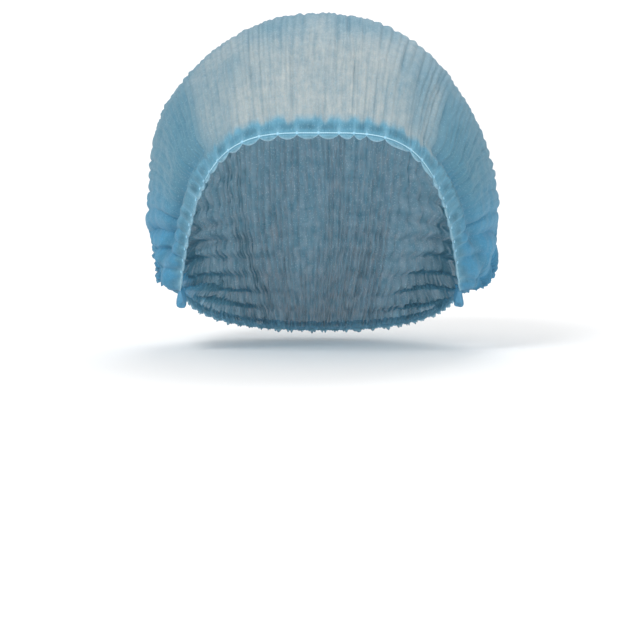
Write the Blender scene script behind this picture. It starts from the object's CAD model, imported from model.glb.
"""Looks of a disposable pleated mob cap: one gathered non-woven sheet, its two hems, their
elastics and weld spots, and the crimped seal at each ear. Metres, in the part's frame.

The sheet is a fan of arcs from seal to seal. An arc is named by v, from 0 at the front edge to
1 at the nape edge, and a place along it by w, from -1 at the left seal to 1 at the right one.
"""

from math import asin, cos, pi, radians, sin
from typing import NamedTuple

import bmesh
import bpy
import numpy as np
from mathutils import Matrix, Vector


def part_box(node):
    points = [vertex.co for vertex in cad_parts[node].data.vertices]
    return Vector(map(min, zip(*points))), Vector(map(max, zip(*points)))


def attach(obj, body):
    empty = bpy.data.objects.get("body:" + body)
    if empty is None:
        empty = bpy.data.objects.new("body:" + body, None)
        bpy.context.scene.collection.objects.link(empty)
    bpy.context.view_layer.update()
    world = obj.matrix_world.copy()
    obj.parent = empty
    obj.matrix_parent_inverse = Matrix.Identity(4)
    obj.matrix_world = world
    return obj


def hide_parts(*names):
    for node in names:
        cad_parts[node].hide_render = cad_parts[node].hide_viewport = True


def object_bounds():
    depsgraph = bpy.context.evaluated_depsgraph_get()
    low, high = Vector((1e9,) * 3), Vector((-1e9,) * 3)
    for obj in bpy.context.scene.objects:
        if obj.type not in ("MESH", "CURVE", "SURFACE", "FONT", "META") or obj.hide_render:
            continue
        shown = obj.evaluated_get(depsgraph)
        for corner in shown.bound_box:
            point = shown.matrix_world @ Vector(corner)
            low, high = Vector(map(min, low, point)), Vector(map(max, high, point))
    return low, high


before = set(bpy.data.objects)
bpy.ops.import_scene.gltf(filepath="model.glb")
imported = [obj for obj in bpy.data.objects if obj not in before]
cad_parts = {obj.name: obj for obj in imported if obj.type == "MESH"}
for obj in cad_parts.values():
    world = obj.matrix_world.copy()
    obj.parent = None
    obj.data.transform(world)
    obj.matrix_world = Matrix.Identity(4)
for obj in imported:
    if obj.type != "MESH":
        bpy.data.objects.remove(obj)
cad_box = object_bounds()

MM = 0.001


# ---------------------------------------------------------------- smooth shapes and noise

def smooth(t):
    """Rise from 0 to 1 with level ends."""
    t = np.clip(t, 0.0, 1.0)
    return t * t * (3.0 - 2.0 * t)


def between(low, high, amount):
    """Blend of two numbers, by an amount from 0 to 1."""
    return low * (1.0 - amount) + high * amount


def noise(x, y, seed):
    """Smooth noise from -1 to 1, with one hill or dip about every unit."""
    size = 64
    lattice = np.random.default_rng(seed).uniform(-1.0, 1.0, (size, size))
    x, y = np.broadcast_arrays(x, y)
    left = np.floor(x).astype(int)
    low = np.floor(y).astype(int)
    across = smooth(x - left)
    up = smooth(y - low)
    bottom = between(lattice[left % size, low % size], lattice[(left + 1) % size, low % size], across)
    top_row = (low + 1) % size
    top = between(lattice[left % size, top_row], lattice[(left + 1) % size, top_row], across)
    return between(bottom, top, up)


class Ramp(NamedTuple):
    """Smooth rise from 0 at its start to 1 a width further on."""

    start: float
    width: float

    def at(self, value):
        return smooth((value - self.start) / self.width)


class Hump(NamedTuple):
    """Smooth hump: 1 at its middle, and 0 from half its width on."""

    middle: float
    half_width: float

    def at(self, value):
        return smooth(1.0 - np.abs(value - self.middle) / self.half_width)


class Pattern(NamedTuple):
    """Noise over the sheet: hills for each unit of w and of v, and its spread about a mean."""

    across: float
    along: float
    seed: int
    spread: float = 1.0
    mean: float = 0.0
    shift: float = 0.0

    def at(self, w, v):
        return self.mean + self.spread * noise(w * self.across + self.shift, v * self.along, self.seed)


# ---------------------------------------------------------------- driving values

# The worn shape, as in the part. Its main sizes are read from the frame, with small allowances
# because the solids' boxes differ a little from the part's own driving values.
_, crown_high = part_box("crown_sheet")
seal_low, seal_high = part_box("right_end_seal")
TOP_ALLOWANCE = 0.8 * MM
SIDE_ALLOWANCE = 1.2 * MM
SEAL_ALLOWANCE = 1.0 * MM
CAP_TOP = crown_high[2] - TOP_ALLOWANCE
CAP_HALF_WIDTH = crown_high[0] - SIDE_ALLOWANCE
SEAL_HALF_SPAN = (seal_low[0] + seal_high[0]) / 2
SEAL_LENGTH = seal_high[1] - seal_low[1] + SEAL_ALLOWANCE
DOME_CENTRE_Y = 16.0 * MM
DOME_CENTRE_Z = 45.0 * MM
FRONT_REACH = 120.0 * MM
BACK_REACH = 112.0 * MM
NAPE_REACH = 85.0 * MM
FRONT_EDGE_Z = 89.0 * MM
NAPE_EDGE_Z = -30.0 * MM
FRONT_FULLNESS = 3.7
DOME_FULLNESS = 2.1
NAPE_FULLNESS = 2.45
TEMPLE_TAPER = 0.2
PUFF_LEVEL = 0.22
EDGE_SHAPE = Ramp(start=0.0, width=0.34)

# The cut sheet: from seal to seal, front to back with both hems' outer layers, and without them
FLAT_WIDTH = 0.50
FLAT_LENGTH = 0.43

# Hems. The elastic lies at a share of a hem's width from the edge.
HEM_WIDTH = 14.1 * MM
HEM_TAPER = 120.0 * MM
ELASTIC_SHARE = 0.3
SCALLOP_DEPTH = 0.75
FOLD_GAP = 0.5 * MM
FOLD_OPENING = Ramp(start=0.0, width=0.12)
INNER_PUFF = 0.55

# Elastics, weld spots and end seals. Places are steps of the mesh along the hem.
ELASTIC_RADIUS = 0.34 * MM
ELASTIC_LIFT = 0.35 * MM
ELASTIC_SINK = 0.65 * MM
SUNK_SIDES = Ramp(start=0.3, width=0.2)
STRAND_END_PLACES = 2
STRAND_STEP_PLACES = 3
STRAND_ROUNDNESS = 3
STRAND_ORDER = 3
WELD_RADIUS = 0.9 * MM
WELD_FLATNESS = 0.45
WELD_LIFT = 0.5 * MM
WELDED_SHARE = 0.93
WELD_SEGMENTS = 16
WELD_RINGS = 10
SEAL_TOP = 1.5 * MM
SEAL_FACE_POWER = 0.5
SEAL_SIDE_POWER = 0.7
SEAL_END_POWER = 8
SEAL_END_THINNEST = 0.04
SEAL_TOP_WIDTH = 0.8
SEAL_FLARE = 0.5
CRIMPS = 8
CRIMP_DEPTH = 0.3
CRIMP_GROWTH = 1.1
FRAY_DEPTH = 2.2 * MM
FRAY_HILLS = 7.0
FRAY_SIDE_SHIFT = 100.0
FRAY_SEED = 21
SEAL_ROWS = 96
SEAL_RING = 20

# Ribs that run front to back. A half rib is half of one, and fine creases are finer still.
RIBS = 34
RIB_WANDER = Pattern(across=5.0, along=1.5, seed=1, spread=0.5, shift=9.0)
RIB_JITTER = Pattern(across=13.0, along=1.5, seed=2, spread=0.3)
WANDER_FROM_SEAL = Ramp(start=0.0, width=0.1)
HALF_RIBS_PER_RIB = 2.0
HALF_RIB_WANDER = Pattern(across=7.0, along=2.0, seed=13, spread=0.5)
FINE_PER_RIB = 3.3
FINE_WANDER = Pattern(across=9.0, along=4.0, seed=4, spread=1.1)
PUFF_ROUNDNESS = 2.0
VALLEY_ROUNDNESS = 2.4
LOBE_ROUNDNESS = 2.2
FINE_ROUNDNESS = 1.8
RIB_STRENGTH = Pattern(across=3.7, along=5.0, seed=3, spread=0.4, mean=0.85)
HALF_RIB_STRENGTH = Pattern(across=2.3, along=7.0, seed=14, spread=0.5, mean=0.9)
FINE_STRENGTH = Pattern(across=2.9, along=9.0, seed=11, spread=0.6, mean=0.8)
HEM_RIB = 2.2 * MM
DOME_RIB = 0.85 * MM
SIDE_RIB = 0.9 * MM
LOW_RIB = 3.2 * MM
FINE_RIB = 0.9 * MM
BACK_FINE_RIB = 2.4 * MM
RIB_CREST = 1.0 * MM
CLOTH_LIFT = 0.25 * MM
HEM_REACH = 16.0 * MM
PINCH_WIDTH = 4.0 * MM

# Where the ribs are shallower or deeper: ramps and humps over w or v, and shares of the depth
SIDES = Ramp(start=0.35, width=0.4)
LOW_SIDES = Ramp(start=0.65, width=0.15)
RIBBED_BACK = Ramp(start=0.5, width=0.15)
BEHIND_TEMPLES = Ramp(start=0.18, width=0.16)
SHOULDERS = Hump(middle=0.4, half_width=0.22)
OUTLINE = Hump(middle=0.38, half_width=0.16)
TAUT_TEMPLES = 0.85
SHOULDER_EASE = 0.6
HEM_EASE = 0.7
OUTLINE_EASE = 0.7
SIDE_FINE_EASE = 0.75
LOW_FINE_EASE = 0.9

# Accordion pleats that run from seal to seal
CREASES = 22
PLEAT_WANDER = Pattern(across=4.0, along=9.0, seed=5, spread=0.35, shift=3.0)
PLEAT_STRENGTH = Pattern(across=6.0, along=1.0, seed=6, spread=0.25, mean=0.85)
PLEAT_ROUNDNESS = 1.3
PLEATED_BACK = Ramp(start=0.42, width=0.16)
CROWDED_SIDES = Ramp(start=0.2, width=0.4)
DOME_PLEAT = 2.0 * MM
SIDE_PLEAT = 10.0 * MM
DEEPEST_PER_PITCH = 0.9
FRONT_PLEAT_SHARE = 0.06

# Slack that differs from side to side
CRUMPLE = 0.4 * MM
SMALL_CRUMPLES = Pattern(across=100.0, along=36.0, seed=7)
LARGE_CRUMPLES = Pattern(across=40.0, along=24.0, seed=8, spread=1.2)
LOW_CRUMPLE_EASE = 0.8
BILLOWS = Pattern(across=2.4, along=3.4, seed=9, spread=1.8 * MM, shift=5.0)
SIDE_LOBES = Pattern(across=15.0, along=5.0, seed=10, spread=2.5 * MM)
UPPER_LEFT_BULGE = 5.0 * MM
UPPER_LEFT = Hump(middle=-0.48, half_width=0.28)
UPPER_LEFT_ROWS = Hump(middle=0.4, half_width=0.4)
LOWER_LEFT_DIP = 5.0 * MM
LOWER_LEFT = Hump(middle=-0.86, half_width=0.11)
LOWER_LEFT_ROWS = Hump(middle=0.4, half_width=0.5)
LEFT_DRAW_IN = 3.0 * MM
LEFT_SIDE = Ramp(start=0.5, width=0.25)
RIGHT_BULGE = 3.0 * MM
RIGHT_SIDE = Hump(middle=0.7, half_width=0.3)

# The band at the temples, over the distance from the front edge
TEMPLES = Ramp(start=0.3, width=0.25)
BAND_FLARE = 4.0 * MM
FLARED = Ramp(start=3.0 * MM, width=7.0 * MM)
VALLEY_DEPTH = 4.0 * MM
VALLEY = Hump(middle=15.0 * MM, half_width=5.0 * MM)
SIDE_PUFF = 4.5 * MM
PUFFED_SIDE = Ramp(start=15.0 * MM, width=11.0 * MM)
BEYOND_HEM = Ramp(start=7.0 * MM, width=8.0 * MM)
FLAT_AT_SEAL = Ramp(start=0.0, width=0.06)

# Cloth colours, from where it is stretched over the brow to the crowded sides, and of the hem
STRETCHED_PALE = (0.62, 0.65, 0.62)
CROWDED_BLUE = (0.120, 0.305, 0.405)
LOW_BLUE = (0.085, 0.355, 0.57)
SHADOW_BLUE = (0.09, 0.29, 0.43)
HEM_BLUE = (0.19, 0.46, 0.61)
POCKET_BLUE = (0.11, 0.30, 0.40)
BRIGHT_BLUE = (0.48, 0.76, 0.88)
YARN_DEEP = (0.40, 0.69, 0.83)
YARN_PALE = (0.47, 0.76, 0.88)
WELD_DEEP = (0.22, 0.52, 0.72)
WELD_PALE = (0.40, 0.70, 0.85)
SEAL_DEEP = (0.04, 0.19, 0.33)
SEAL_PALE = (0.10, 0.32, 0.50)

# Where the single layer has which colour
TINT_WANDER = Pattern(across=16.0, along=14.0, seed=12, spread=0.06)
TINTED_ACROSS = Ramp(start=0.2, width=0.28)
TINTED_ALONG = Ramp(start=0.06, width=0.26)
TINTED_LOW = Ramp(start=0.6, width=0.25)
TINTED_SIDES = Ramp(start=0.35, width=0.2)
DRAWN_IN_STRENGTH = Pattern(across=30.0, along=14.0, seed=17, spread=0.6, mean=0.6)
VALLEY_SHADOW = 0.8
RIB_SHADOW = 0.12
DRAWN_IN_TINT = 0.3
SINGLE_COVER = 0.86

# Where the double layer of a hem ends, and its dark pockets and bright lines
RAGGED_EDGE = Pattern(across=60.0, along=0.0, seed=15, spread=1.6 * MM)
RAGGED_SCALLOP = 0.8 * MM
DOUBLED_BLUR = 4.5 * MM
POCKET_START = 3.0 * MM
POCKET = Hump(middle=3.0 * MM, half_width=4.5 * MM)
POCKET_STRENGTH = Pattern(across=1.7, along=40.0, seed=16, spread=0.5, mean=0.65)
POCKET_THINNING = 0.35
RIM_WIDTH = 0.5 * MM
FOLD_LINE_WIDTH = 0.35 * MM
FOLD_LINE_RISE = 1.7 * MM
FOLD_LINE_BRIGHTNESS = 0.6
CREASE = Hump(middle=0.0, half_width=5.0 * MM)
CREASE_POWER = 3
CREASE_BRIGHTNESS = 0.7

# Fineness of the meshes
ACROSS = 760
CROWN_ROWS = 126
HEM_ROWS = 22
ARC_SAMPLES = 90
FAN_ROWS = 400
SHORTEST_NORMAL = 1e-12


# ---------------------------------------------------------------- the worn shape

def front(v):
    """How much an arc is shaped like the front edge, from 1 there to 0 in the dome."""
    return 1.0 - EDGE_SHAPE.at(v)


def nape(v):
    """How much an arc is shaped like the nape edge, from 1 there to 0 in the dome."""
    return 1.0 - EDGE_SHAPE.at(1.0 - v)


def midline(v):
    """Point (y, z) of an arc on the midplane: elliptical quarters about one centre."""
    first = asin((FRONT_EDGE_Z - DOME_CENTRE_Z) / (CAP_TOP - DOME_CENTRE_Z))
    last = pi + asin((DOME_CENTRE_Z - NAPE_EDGE_Z) / NAPE_REACH)
    angle = first + (last - first) * v
    reach_y = FRONT_REACH if angle < pi / 2 else BACK_REACH
    reach_z = CAP_TOP - DOME_CENTRE_Z if angle < pi else NAPE_REACH
    return DOME_CENTRE_Y - reach_y * cos(angle), DOME_CENTRE_Z + reach_z * sin(angle)


def arc(v, places):
    """Points of arc v at the places w: over the head as one quarter, in to the seal as another."""
    puff = (1.0 - front(v)) * (1.0 - nape(v))
    seal_y = SEAL_LENGTH * (v - 0.5)
    top_y, top_z = midline(v)
    height = np.hypot(top_y - seal_y, top_z)
    half_width = SEAL_HALF_SPAN + (CAP_HALF_WIDTH - SEAL_HALF_SPAN) * puff
    level = height * PUFF_LEVEL * puff
    fullness = DOME_FULLNESS
    fullness += (FRONT_FULLNESS - DOME_FULLNESS) * front(v)
    fullness += (NAPE_FULLNESS - DOME_FULLNESS) * nape(v)
    turn = np.linspace(0.0, pi / 2, ARC_SAMPLES)
    wide = (np.sin(turn) / half_width) ** fullness
    tall = (np.maximum(np.cos(turn), 0.0) / (height - level)) ** fullness
    radius = (wide + tall) ** (-1.0 / fullness)
    drawn_in = SEAL_HALF_SPAN + (half_width - SEAL_HALF_SPAN) * np.cos(turn[1:])
    x = np.concatenate([radius * np.sin(turn), drawn_in])
    along = np.concatenate([level + radius * np.cos(turn), level - level * np.sin(turn[1:])])
    share = along / height
    x = x * (1.0 - TEMPLE_TAPER * front(v) * share)
    half = np.column_stack([x, seal_y + (top_y - seal_y) * share, top_z * share])
    run = np.concatenate([[0.0], np.cumsum(np.linalg.norm(np.diff(half, axis=0), axis=1))])
    wanted = np.abs(places) * run[-1]
    points = np.column_stack([np.interp(wanted, run, half[:, k]) for k in range(3)])
    points[:, 0] *= np.sign(places)
    return points


def outward(points):
    """Unit normals of a grid of points, out of the cap."""
    to_nape = np.gradient(points, axis=0)
    to_right = np.gradient(points, axis=1)
    normal = np.cross(to_right, to_nape)
    return normal / np.maximum(np.linalg.norm(normal, axis=2, keepdims=True), SHORTEST_NORMAL)


places = np.linspace(-1.0, 1.0, ACROSS + 1)
fan_v = np.linspace(0.0, 1.0, FAN_ROWS + 1)
fan = np.array([arc(v, places) for v in fan_v])
fan_normal = outward(fan)
fan_length = np.linalg.norm(np.diff(fan, axis=0), axis=2).sum(axis=0)
hem_share = HEM_WIDTH / (fan_length + HEM_TAPER)


def sheet_grid(v, lift):
    """Points of the sheet at a grid of v, one column for each place, lifted off the smooth shape."""
    rows = v * FAN_ROWS
    low = np.clip(np.floor(rows).astype(int), 0, FAN_ROWS - 1)
    share = (rows - low)[..., None]
    column = np.arange(len(places))[None, :]
    base = between(fan[low, column], fan[low + 1, column], share)
    normal = between(fan_normal[low, column], fan_normal[low + 1, column], share)
    return base + normal * lift[..., None]


# ---------------------------------------------------------------- gathers, pleats and slack

def rib_place(v, w):
    """Running number of the rib at a point: whole at the valleys between two puffs."""
    wander = RIB_WANDER.at(w, v) + RIB_JITTER.at(w, v)
    return (w + 1.0) * RIBS / 2 + wander * WANDER_FROM_SEAL.at(1.0 - np.abs(w))


def half_rib_place(v, w):
    """Running number of the half rib at a point."""
    return rib_place(v, w) * HALF_RIBS_PER_RIB + HALF_RIB_WANDER.at(w, v)


def puffed(running, power):
    """Rounded ridges with sharp valleys, one for each whole step of a running number."""
    return 1.0 - np.abs(2.0 * (running - np.floor(running)) - 1.0) ** power


def from_edges(v):
    """Distances over the sheet from the front edge, and from the nearer of the two edges."""
    from_front = v * fan_length
    return from_front, np.minimum(from_front, (1.0 - v) * fan_length)


def hem_puffs(v, w, at_hem):
    """Puffs between the gathers of a hem, which die out over the sheet."""
    rib = rib_place(v, w)
    return HEM_RIB * RIB_STRENGTH.at(np.floor(rib), v) * puffed(rib, PUFF_ROUNDNESS) * at_hem


def rib_valleys(v, w, at_hem):
    """Valleys pressed into the dome between half ribs, and between whole ribs low at the sides."""
    beside = SIDES.at(np.abs(w))
    low_down = LOW_SIDES.at(np.abs(w))
    half_rib = half_rib_place(v, w)
    strength = HALF_RIB_STRENGTH.at(np.floor(half_rib), v)
    taut = 1.0 - TAUT_TEMPLES * beside * (1.0 - BEHIND_TEMPLES.at(v))
    shoulder = 1.0 - SHOULDER_EASE * SHOULDERS.at(np.abs(w))
    off_hem = 1.0 - HEM_EASE * at_hem
    depth = (DOME_RIB + SIDE_RIB * beside) * taut * shoulder * off_hem * (1.0 - low_down)
    lobes = LOW_RIB * low_down * strength * (1.0 - puffed(rib_place(v, w), LOBE_ROUNDNESS)) * off_hem
    return depth * strength * (1.0 - puffed(half_rib, VALLEY_ROUNDNESS)) + lobes


def fine_valleys(v, w):
    """Fine creases between the ribs, shallow at the outline and the sides, deep at the back."""
    beside = SIDES.at(np.abs(w))
    behind = RIBBED_BACK.at(v)
    fine = rib_place(v, w) * FINE_PER_RIB + FINE_WANDER.at(w, v)
    outline = 1.0 - OUTLINE_EASE * OUTLINE.at(v)
    depth = FINE_RIB * outline + BACK_FINE_RIB * behind
    depth = depth * (1.0 - SIDE_FINE_EASE * beside * (1.0 - behind))
    depth = depth * (1.0 - LOW_FINE_EASE * LOW_SIDES.at(np.abs(w)))
    return depth * FINE_STRENGTH.at(np.floor(fine), v) * (1.0 - puffed(fine, FINE_ROUNDNESS))


def gathers(v, w, nearest):
    """Ribs that run front to back, pinched in where the elastic holds them."""
    at_hem = np.exp(-nearest / HEM_REACH)
    ribs = hem_puffs(v, w, at_hem) - rib_valleys(v, w, at_hem) - fine_valleys(v, w)
    elastic = ELASTIC_SHARE * hem_share * fan_length
    pinch = smooth(np.abs(nearest - elastic) / PINCH_WIDTH)
    return (ribs + RIB_CREST * (1.0 - at_hem)) * pinch + CLOTH_LIFT


def pleats(v, w):
    """Accordion pleats that run from seal to seal, deepest at the back and beside the ears."""
    pitch = fan_length / CREASES
    fold = v * CREASES + PLEAT_WANDER.at(w, v)
    behind = PLEATED_BACK.at(v)
    crowded = CROWDED_SIDES.at(np.abs(w)) * (FRONT_PLEAT_SHARE + (1.0 - FRONT_PLEAT_SHARE) * behind)
    depth = np.minimum(SIDE_PLEAT * crowded, DEEPEST_PER_PITCH * pitch) + DOME_PLEAT * behind
    return -depth * (1.0 - puffed(fold, PLEAT_ROUNDNESS)) * PLEAT_STRENGTH.at(w, fold)


def slack(v, w):
    """Loose billows, crumples and lobes, which differ from side to side."""
    low_down = LOW_SIDES.at(np.abs(w))
    crumples = SMALL_CRUMPLES.at(w, v) + LARGE_CRUMPLES.at(w, v)
    crumple = CRUMPLE * (1.0 - LOW_CRUMPLE_EASE * low_down) * crumples
    lobes = SIDE_LOBES.at(w, v) * low_down
    upper_left = UPPER_LEFT_BULGE * UPPER_LEFT.at(w) * UPPER_LEFT_ROWS.at(v)
    lower_left = LOWER_LEFT_DIP * LOWER_LEFT.at(w) * LOWER_LEFT_ROWS.at(v)
    left_in = LEFT_DRAW_IN * LEFT_SIDE.at(-w)
    right_out = RIGHT_BULGE * RIGHT_SIDE.at(w)
    return crumple + BILLOWS.at(w, v) + lobes + upper_left - lower_left - left_in + right_out


def temple_band(v, w, from_front):
    """Flare of the band at the temples, the valley along it and the fullness behind it."""
    flare = BAND_FLARE * FLARED.at(from_front)
    valley = VALLEY_DEPTH * VALLEY.at(from_front)
    fullness = SIDE_PUFF * PUFFED_SIDE.at(from_front)
    return TEMPLES.at(np.abs(w)) * front(v) * (flare - valley + fullness)


def relief(v, w):
    """Height of the gathered sheet above the smooth shape."""
    from_front, nearest = from_edges(v)
    loose = (pleats(v, w) + slack(v, w)) * BEYOND_HEM.at(nearest)
    height = gathers(v, w, nearest) + loose + temple_band(v, w, from_front)
    return height * FLAT_AT_SEAL.at(1.0 - np.abs(w))


# ---------------------------------------------------------------- colour and cover of the cloth

def mixed(low, high, amount):
    """Blend of two colours over a grid of points, by an amount from 0 to 1 at each."""
    return between(np.asarray(low), np.asarray(high), amount[..., None])


def single_look(v, w, from_front):
    """Colour and cover of the single layer: pale over the brow, deeper where it is crowded."""
    wander = TINT_WANDER.at(w, v)
    stretched = 1.0 - TINTED_ACROSS.at(np.abs(w) + wander)
    stretched = stretched * (1.0 - TINTED_ALONG.at(v + wander))
    drawn_in = (1.0 - puffed(half_rib_place(v, w), VALLEY_ROUNDNESS)) ** 2
    drawn_in = drawn_in * DRAWN_IN_STRENGTH.at(w, v)
    in_valley = TINTED_SIDES.at(np.abs(w)) * VALLEY.at(from_front)
    colour = mixed(CROWDED_BLUE, LOW_BLUE, TINTED_LOW.at(np.abs(w)))
    colour = mixed(colour, SHADOW_BLUE, VALLEY_SHADOW * in_valley + RIB_SHADOW * drawn_in)
    colour = mixed(colour, STRETCHED_PALE, stretched * (1.0 - DRAWN_IN_TINT * drawn_in))
    return colour, between(SINGLE_COVER, 1.0, 1.0 - stretched)


def hem_look(v, w, nearest):
    """Colour and cover of a hem's double layer: dark pockets and bright folds at its gathers."""
    rib = rib_place(v, w)
    crest = puffed(rib, PUFF_ROUNDNESS)
    elastic = ELASTIC_SHARE * hem_share * fan_length
    from_elastic = np.abs(nearest - elastic)
    pocket = crest * smooth(from_elastic / POCKET_START) * POCKET.at(from_elastic)
    pocket = pocket * POCKET_STRENGTH.at(np.floor(rib), v)
    from_rim = nearest - elastic * SCALLOP_DEPTH * (1.0 - crest)
    rim = np.exp(-np.abs(from_rim) / RIM_WIDTH)
    fold_line = np.exp(-np.abs(from_rim - FOLD_LINE_RISE * crest) / FOLD_LINE_WIDTH) * crest
    creased = (1.0 - crest) ** CREASE_POWER * CREASE.at(from_elastic)
    bright = np.maximum(rim, FOLD_LINE_BRIGHTNESS * fold_line)
    bright = np.clip(np.maximum(bright, CREASE_BRIGHTNESS * creased), 0.0, 1.0)
    colour = mixed(HEM_BLUE, POCKET_BLUE, np.clip(pocket, 0.0, 1.0))
    colour = mixed(colour, BRIGHT_BLUE, bright)
    return colour, np.clip(1.0 - POCKET_THINNING * pocket + bright, 0.0, 1.0)


def cloth_look(v, w):
    """Colour and cover of the cloth over a grid, where it lies single or doubled."""
    from_front, nearest = from_edges(v)
    crest = puffed(rib_place(v, w), PUFF_ROUNDNESS)
    ragged = hem_share * fan_length + RAGGED_EDGE.at(w, v) + RAGGED_SCALLOP * (1.0 - 2.0 * crest)
    doubled = smooth((ragged - nearest) / DOUBLED_BLUR + 0.5)
    single_colour, single_cover = single_look(v, w, from_front)
    hem_colour, hem_cover = hem_look(v, w, nearest)
    return mixed(single_colour, hem_colour, doubled), between(single_cover, hem_cover, doubled)


# ---------------------------------------------------------------- making pieces

def add_object(name, data):
    """Object in the scene with the given data."""
    made = bpy.data.objects.new(name, data)
    bpy.context.collection.objects.link(made)
    return made


def smooth_mesh(name, points, faces):
    """Mesh with smooth shading."""
    mesh = bpy.data.meshes.new(name)
    mesh.from_pydata(points, [], faces)
    mesh.polygons.foreach_set("use_smooth", [True] * len(faces))
    return mesh


def grid_piece(name, points, v):
    """Cloth of a grid of points, with its flat coordinates in metres as UVs, its tint and its cover."""
    rows, columns = points.shape[:2]
    index = np.arange(rows * columns).reshape(rows, columns)
    corners = np.stack([index[:-1, :-1], index[:-1, 1:], index[1:, 1:], index[1:, :-1]], axis=-1)
    faces = corners.reshape(-1, 4)
    mesh = smooth_mesh(name, points.reshape(-1, 3).tolist(), faces.tolist())
    flat = np.broadcast_arrays((places + 1.0) * FLAT_WIDTH / 2, v * FLAT_LENGTH)
    flat = np.stack(flat, axis=-1).reshape(-1, 2)
    layer = mesh.uv_layers.new(name="cloth")
    layer.data.foreach_set("uv", flat[faces.reshape(-1)].reshape(-1))
    colour, cover = cloth_look(v, places[None, :])
    opaque = np.ones_like(colour[..., :1])
    tint = mesh.attributes.new("tint", "FLOAT_COLOR", "POINT")
    tint.data.foreach_set("color", np.concatenate([colour, opaque], axis=-1).reshape(-1))
    covering = mesh.attributes.new("cover", "FLOAT", "POINT")
    covering.data.foreach_set("value", cover.reshape(-1))
    mesh.update()
    return add_object(name, mesh)


def finish_piece(piece, material, node):
    """Give a piece its material and its place in the part."""
    piece.data.materials.append(material)
    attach(piece, "root")
    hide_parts(node)
    return piece


# ---------------------------------------------------------------- materials

class Nodes:
    """Small helper that adds and joins the nodes of one material."""

    def __init__(self, name):
        self.material = bpy.data.materials.new(name)
        self.material.use_nodes = True
        self.tree = self.material.node_tree
        self.tree.nodes.clear()

    def feed(self, socket, value):
        """Join an output to a socket, or set the socket to a value."""
        if isinstance(value, bpy.types.NodeSocket):
            self.tree.links.new(value, socket)
        else:
            socket.default_value = value

    def add(self, kind, **inputs):
        """Node with its inputs fed by name."""
        node = self.tree.nodes.new(kind)
        for key, value in inputs.items():
            self.feed(node.inputs[key.replace("_", " ")], value)
        return node

    def attribute(self, name):
        node = self.tree.nodes.new("ShaderNodeAttribute")
        node.attribute_name = name
        return node

    def math(self, operation, first, second):
        node = self.tree.nodes.new("ShaderNodeMath")
        node.operation = operation
        self.feed(node.inputs[0], first)
        self.feed(node.inputs[1], second)
        return node.outputs[0]

    def blend(self, amount, low, high):
        """Mix of two colours, each a socket or red, green and blue."""
        node = self.tree.nodes.new("ShaderNodeMix")
        node.data_type = "RGBA"
        self.feed(node.inputs["Factor"], amount)
        for key, colour in (("A", low), ("B", high)):
            self.feed(node.inputs[key], (*colour, 1.0) if isinstance(colour, tuple) else colour)
        return node.outputs["Result"]

    def remap(self, value, from_low=0.0, from_high=1.0, to_low=0.0):
        """Value stretched from its own range to one that ends at 1."""
        node = self.add("ShaderNodeMapRange", Value=value, From_Min=from_low, From_Max=from_high)
        node.inputs["To Min"].default_value = to_low
        return node.outputs["Result"]

    def noise(self, vector, scale, detail, roughness):
        node = self.add("ShaderNodeTexNoise", Vector=vector, Scale=scale, Detail=detail, Roughness=roughness)
        return node.outputs["Fac"]

    def bump(self, height, strength, distance):
        node = self.add("ShaderNodeBump", Height=height, Strength=strength, Distance=distance)
        return node.outputs[0]

    def mix_shaders(self, amount, first, second):
        node = self.add("ShaderNodeMixShader", Fac=amount)
        self.feed(node.inputs[1], first.outputs[0])
        self.feed(node.inputs[2], second.outputs[0])
        return node

    def finish(self, shader):
        """Material with this shader as its surface."""
        self.add("ShaderNodeOutputMaterial", Surface=shader.outputs[0])
        return self.material


CLOUD_SHARE = 0.42
STREAK_SHARE = 0.30
STREAK_STRETCH = 0.16
FIBRE_SHARE = 0.28
THIN_SPOT_SHADE = 0.45
BOND_POINTS = 620.0
BOND_BRIGHTNESS = 0.3
BOND_HEIGHT = 0.4
SHEET_THIN_COVER = 0.88
HEM_THIN_COVER = 0.86
CLOTH_GLOW = 0.28


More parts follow.
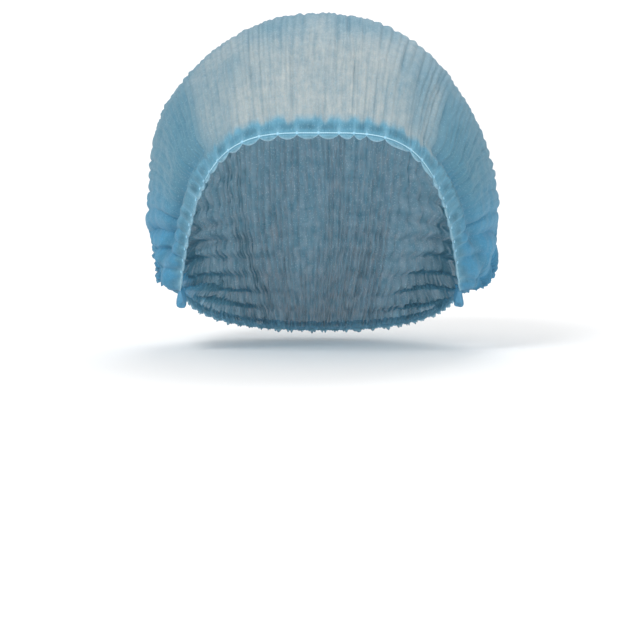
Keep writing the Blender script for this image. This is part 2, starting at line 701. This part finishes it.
def nonwoven(name, thin_cover):
    """Spunbond sheet: cloudy fibres and fine bond points over the tint and cover of its cloth."""
    n = Nodes(name)
    map_node = n.tree.nodes.new("ShaderNodeUVMap")
    map_node.uv_map = "cloth"
    uv = map_node.outputs[0]
    tint = n.attribute("tint").outputs["Color"]
    covering = n.attribute("cover").outputs["Fac"]
    clouds = n.noise(uv, scale=150.0, detail=5.0, roughness=0.62)
    drawn = n.add("ShaderNodeMapping", Vector=uv, Scale=(1.0, STREAK_STRETCH, 1.0))
    streaks = n.noise(drawn.outputs[0], scale=330.0, detail=3.0, roughness=0.55)
    fibres = n.noise(uv, scale=900.0, detail=4.0, roughness=0.7)
    from_bond = n.add("ShaderNodeTexVoronoi", Vector=uv, Scale=BOND_POINTS).outputs["Distance"]

    cloudy = n.math("MULTIPLY", clouds, CLOUD_SHARE)
    streaky = n.math("MULTIPLY", streaks, STREAK_SHARE)
    fibrous = n.math("MULTIPLY", fibres, FIBRE_SHARE)
    body = n.math("ADD", n.math("ADD", cloudy, streaky), fibrous)
    amount = n.remap(body, from_low=0.38, from_high=0.62)
    thinness = n.math("SUBTRACT", 1.0, amount)
    colour = n.blend(n.math("MULTIPLY", thinness, THIN_SPOT_SHADE), tint, SHADOW_BLUE)
    flecks = n.remap(from_bond, from_low=0.30, from_high=0.12)
    colour = n.blend(n.math("MULTIPLY", flecks, BOND_BRIGHTNESS), colour, BRIGHT_BLUE)

    height = n.math("ADD", body, n.math("MULTIPLY", from_bond, BOND_HEIGHT))
    normal = n.bump(height, strength=0.5, distance=0.9 * MM)
    surface = n.add("ShaderNodeBsdfPrincipled", Base_Color=colour, Normal=normal, Roughness=0.6,
                    Sheen_Weight=0.2, Specular_IOR_Level=0.3)
    through = n.add("ShaderNodeBsdfTranslucent", Color=colour, Normal=normal)
    cloth = n.mix_shaders(CLOTH_GLOW, surface, through)
    clear = n.add("ShaderNodeBsdfTransparent")
    cover = n.math("MULTIPLY", n.remap(amount, to_low=thin_cover), covering)
    return n.finish(n.mix_shaders(cover, clear, cloth))


def strand_material():
    """Covered elastic: pale twisted yarn."""
    n = Nodes("elastic_yarn")
    place = n.add("ShaderNodeTexCoord").outputs["Object"]
    twist = n.add("ShaderNodeTexWave", Vector=place, Scale=260.0, Distortion=1.5, Detail=2.0).outputs["Fac"]
    colour = n.blend(twist, YARN_DEEP, YARN_PALE)
    normal = n.bump(twist, strength=0.5, distance=0.2 * MM)
    return n.finish(n.add("ShaderNodeBsdfPrincipled", Base_Color=colour, Normal=normal, Roughness=0.5,
                          Sheen_Weight=0.2))


def fused_material(name, deep, pale):
    """Non-woven melted to film: smoother and deeper than the sheet, with a faint press pattern."""
    n = Nodes(name)
    place = n.add("ShaderNodeTexCoord").outputs["Object"]
    press = n.noise(place, scale=900.0, detail=3.0, roughness=0.6)
    colour = n.blend(press, deep, pale)
    normal = n.bump(press, strength=0.4, distance=0.3 * MM)
    return n.finish(n.add("ShaderNodeBsdfPrincipled", Base_Color=colour, Normal=normal, Roughness=0.32))


sheet_cloth = nonwoven("nonwoven_single", SHEET_THIN_COVER)
hem_cloth = nonwoven("nonwoven_double", HEM_THIN_COVER)
yarn = strand_material()
weld_film = fused_material("weld_film", WELD_DEEP, WELD_PALE)
seal_film = fused_material("seal_film", SEAL_DEEP, SEAL_PALE)


# ---------------------------------------------------------------- the sheet and its hems

def from_edge(share, at_nape):
    """The v at a share of the sheet's length from its front edge, or from its nape edge."""
    return 1.0 - share if at_nape else share


def build_hem(name, at_nape, node):
    """Folded edge: an inner layer out to the scalloped fold and an outer layer back."""
    t = np.linspace(0.0, 1.0, HEM_ROWS + 1)[:, None]
    scallop = puffed(rib_place(from_edge(0.0, at_nape), places), PUFF_ROUNDNESS)
    edge = ELASTIC_SHARE * hem_share * SCALLOP_DEPTH * (1.0 - scallop)
    v = from_edge(edge + (hem_share - edge) * t, at_nape)
    height = relief(v, places)
    opened = FOLD_OPENING.at(t)
    inner = sheet_grid(v, -INNER_PUFF * height * opened - FOLD_GAP * opened)
    outer = sheet_grid(v, height)
    points = np.concatenate([inner[::-1], outer[1:]])
    both = np.concatenate([v[::-1], v[1:]])
    if at_nape:
        points = points[::-1]
        both = both[::-1]
    return finish_piece(grid_piece(name, points, both), hem_cloth, node)


down = np.linspace(0.0, 1.0, CROWN_ROWS + 1)[:, None]
crown_v = hem_share + (1.0 - 2.0 * hem_share) * down
crown = grid_piece("crown_pleated_sheet", sheet_grid(crown_v, relief(crown_v, places)), crown_v)
finish_piece(crown, sheet_cloth, "crown_sheet")
front_hem = build_hem("front_hem_gathered", False, "front_hem")
nape_hem = build_hem("nape_hem_gathered", True, "nape_hem")


# ---------------------------------------------------------------- elastics, weld spots and seals

def elastic_v(at_nape):
    """The v of the elastic at each place, as one row."""
    return from_edge(ELASTIC_SHARE * hem_share[None, :], at_nape)


def hem_line(at_nape, lift):
    """Points along the elastic's line, one for each place."""
    v = elastic_v(at_nape)
    return sheet_grid(v, relief(v, places) + lift)[0]


def build_elastic(name, at_nape, node):
    """Round strand in the valley that the weld spots pull into the hem."""
    sunk = ELASTIC_SINK * SUNK_SIDES.at(np.abs(places))
    line = hem_line(at_nape, ELASTIC_LIFT - sunk)
    points = line[STRAND_END_PLACES:-STRAND_END_PLACES:STRAND_STEP_PLACES]
    curve = bpy.data.curves.new(name, "CURVE")
    curve.dimensions = "3D"
    curve.bevel_depth = ELASTIC_RADIUS
    curve.bevel_resolution = STRAND_ROUNDNESS
    curve.use_fill_caps = True
    spline = curve.splines.new("NURBS")
    spline.points.add(len(points) - 1)
    for point, place in zip(spline.points, points):
        point.co = (*place, 1.0)
    spline.order_u = STRAND_ORDER
    spline.use_endpoint_u = True
    return finish_piece(add_object(name, curve), yarn, node)


def build_welds(name, at_nape, node):
    """Small fused buttons on the elastic, one at each gather."""
    line = hem_line(at_nape, WELD_LIFT)
    facing = hem_line(at_nape, WELD_LIFT + MM) - line
    running = rib_place(elastic_v(at_nape), places)[0]
    first = np.ceil(np.interp(-WELDED_SHARE, places, running))
    last = np.floor(np.interp(WELDED_SHARE, places, running))
    index = np.arange(len(places))
    flatten = Matrix.Diagonal((1.0, 1.0, WELD_FLATNESS, 1.0))
    spots = bmesh.new()
    for column in np.interp(np.arange(first, last + 1), running, index):
        centre = Vector([np.interp(column, index, line[:, k]) for k in range(3)])
        normal = Vector([np.interp(column, index, facing[:, k]) for k in range(3)])
        turn = normal.to_track_quat("Z", "Y").to_matrix().to_4x4()
        place = Matrix.Translation(centre) @ turn @ flatten
        bmesh.ops.create_uvsphere(
            spots, u_segments=WELD_SEGMENTS, v_segments=WELD_RINGS, radius=WELD_RADIUS, matrix=place)
    mesh = bpy.data.meshes.new(name)
    spots.to_mesh(mesh)
    spots.free()
    mesh.polygons.foreach_set("use_smooth", [True] * len(mesh.polygons))
    return finish_piece(add_object(name, mesh), weld_film, node)


def squared(wave, power):
    """Sine or cosine pushed out towards a rounded rectangle's sides."""
    return np.sign(wave) * np.abs(wave) ** power


def build_seal(name, node):
    """Pleat ends and elastics fused to a ribbed tab, whose lower edge frays open."""
    low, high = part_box(node)
    centre = [(a + b) / 2 for a, b in zip(low, high)]
    half = [(b - a) / 2 for a, b in zip(low, high)]
    rows = np.linspace(-1.0, 1.0, SEAL_ROWS + 1)[:, None]
    turn = np.linspace(0.0, 2.0 * pi, SEAL_RING, endpoint=False)[None, :]
    lower = (1.0 - squared(np.sin(turn), SEAL_FACE_POWER)) / 2
    across = squared(np.cos(turn), SEAL_SIDE_POWER)
    rounding = np.sqrt(np.maximum(1.0 - np.abs(rows) ** SEAL_END_POWER, SEAL_END_THINNEST))
    crimp = np.cos(pi * CRIMPS * (rows + 1.0)) * MM * (CRIMP_DEPTH + CRIMP_GROWTH * lower ** 2)
    x = centre[0] + half[0] * across * rounding * (SEAL_TOP_WIDTH + SEAL_FLARE * lower) + crimp
    y = centre[1] + half[1] * rows
    tallest = SEAL_TOP - low[2]
    frayed = FRAY_DEPTH * noise(rows * FRAY_HILLS + centre[0] * FRAY_SIDE_SHIFT, 0.0, FRAY_SEED) * lower
    z = low[2] + tallest * (1.0 - lower) * rounding + tallest * (1.0 - rounding) / 2 + frayed
    points = np.stack(np.broadcast_arrays(x, y, z), axis=-1)
    index = np.arange(points.shape[0] * SEAL_RING).reshape(-1, SEAL_RING)
    around = np.roll(index, -1, axis=1)
    faces = np.stack([index[:-1], around[:-1], around[1:], index[1:]], axis=-1).reshape(-1, 4).tolist()
    faces += [index[0][::-1].tolist(), index[-1].tolist()]
    mesh = smooth_mesh(name, points.reshape(-1, 3).tolist(), faces)
    return finish_piece(add_object(name, mesh), seal_film, node)


build_elastic("front_elastic_strand", False, "front_elastic")
build_elastic("nape_elastic_strand", True, "nape_elastic")
build_welds("front_weld_spots", False, "front_hem_welds")
build_welds("nape_weld_spots", True, "nape_hem_welds")
build_seal("left_crimped_seal", "left_end_seal")
build_seal("right_crimped_seal", "right_end_seal")


# ---------------------------------------------------------------- camera, light and floor

VIEW_DISTANCE = 1.5
VIEW_PITCH = radians(4.7)
VIEW_WIDTH = 0.3744
VIEW_CENTRE = Vector((0.0, 0.0, -17.6 * MM))
SENSOR_WIDTH = 36.0
WORLD_STRENGTH = 0.6
WHITE = (1.0, 1.0, 1.0, 1.0)
PAPER = (0.96, 0.96, 0.96, 1.0)
PAPER_ROUGHNESS = 0.9
FLOOR_GAP = 4.0 * MM
FLOOR_HALF = 3.0
WALL_Y = 1.9
BEND_RADIUS = 0.6
BEND_STEPS = 12


def build_camera():
    """Camera level with the cap, looking slightly down at its front."""
    data = bpy.data.cameras.new("camera")
    data.sensor_width = SENSOR_WIDTH
    data.lens = data.sensor_width * VIEW_DISTANCE / VIEW_WIDTH
    camera = add_object("camera", data)
    camera.location = VIEW_CENTRE + VIEW_DISTANCE * Vector((0.0, -cos(VIEW_PITCH), sin(VIEW_PITCH)))
    camera.rotation_euler = (pi / 2 - VIEW_PITCH, 0.0, 0.0)
    bpy.context.scene.camera = camera


def area_light(name, place, aim, size, power):
    """Soft square light that points from its place at its aim."""
    data = bpy.data.lights.new(name, "AREA")
    data.size = size
    data.energy = power
    light = add_object(name, data)
    light.location = place
    light.rotation_euler = (Vector(aim) - Vector(place)).to_track_quat("-Z", "Y").to_euler()


def build_world():
    """Plain white surroundings."""
    world = bpy.data.worlds.new("studio")
    world.use_nodes = True
    background = world.node_tree.nodes["Background"]
    background.inputs["Color"].default_value = WHITE
    background.inputs["Strength"].default_value = WORLD_STRENGTH
    bpy.context.scene.world = world
    bpy.context.scene.view_settings.view_transform = "Standard"


def build_backdrop():
    """Pale floor that curves up into a wall behind the cap."""
    floor_z = cad_box[0][2] - FLOOR_GAP
    bend_y = WALL_Y - BEND_RADIUS
    profile = [(-FLOOR_HALF, floor_z), (bend_y, floor_z)]
    for step in range(1, BEND_STEPS + 1):
        turn = pi / 2 * step / BEND_STEPS
        profile.append((bend_y + BEND_RADIUS * sin(turn), floor_z + BEND_RADIUS * (1.0 - cos(turn))))
    profile.append((WALL_Y, floor_z + FLOOR_HALF))
    points = [(side * FLOOR_HALF, y, z) for y, z in profile for side in (-1, 1)]
    faces = [(2 * i, 2 * i + 1, 2 * i + 3, 2 * i + 2) for i in range(len(profile) - 1)]
    backdrop = add_object("backdrop", smooth_mesh("backdrop", points, faces))
    n = Nodes("pale_paper")
    paper = n.add("ShaderNodeBsdfPrincipled", Base_Color=PAPER, Roughness=PAPER_ROUGHNESS)
    backdrop.data.materials.append(n.finish(paper))


build_camera()
area_light("key", place=(-0.9, -1.5, 1.5), aim=(0, 0, 0.05), size=0.7, power=24.0)
area_light("fill", place=(1.4, -1.5, 0.5), aim=(0, 0, 0.05), size=1.0, power=9.0)
area_light("back", place=(0.3, 1.2, 1.6), aim=(0, 0, 0.08), size=1.0, power=13.0)
build_world()
build_backdrop()
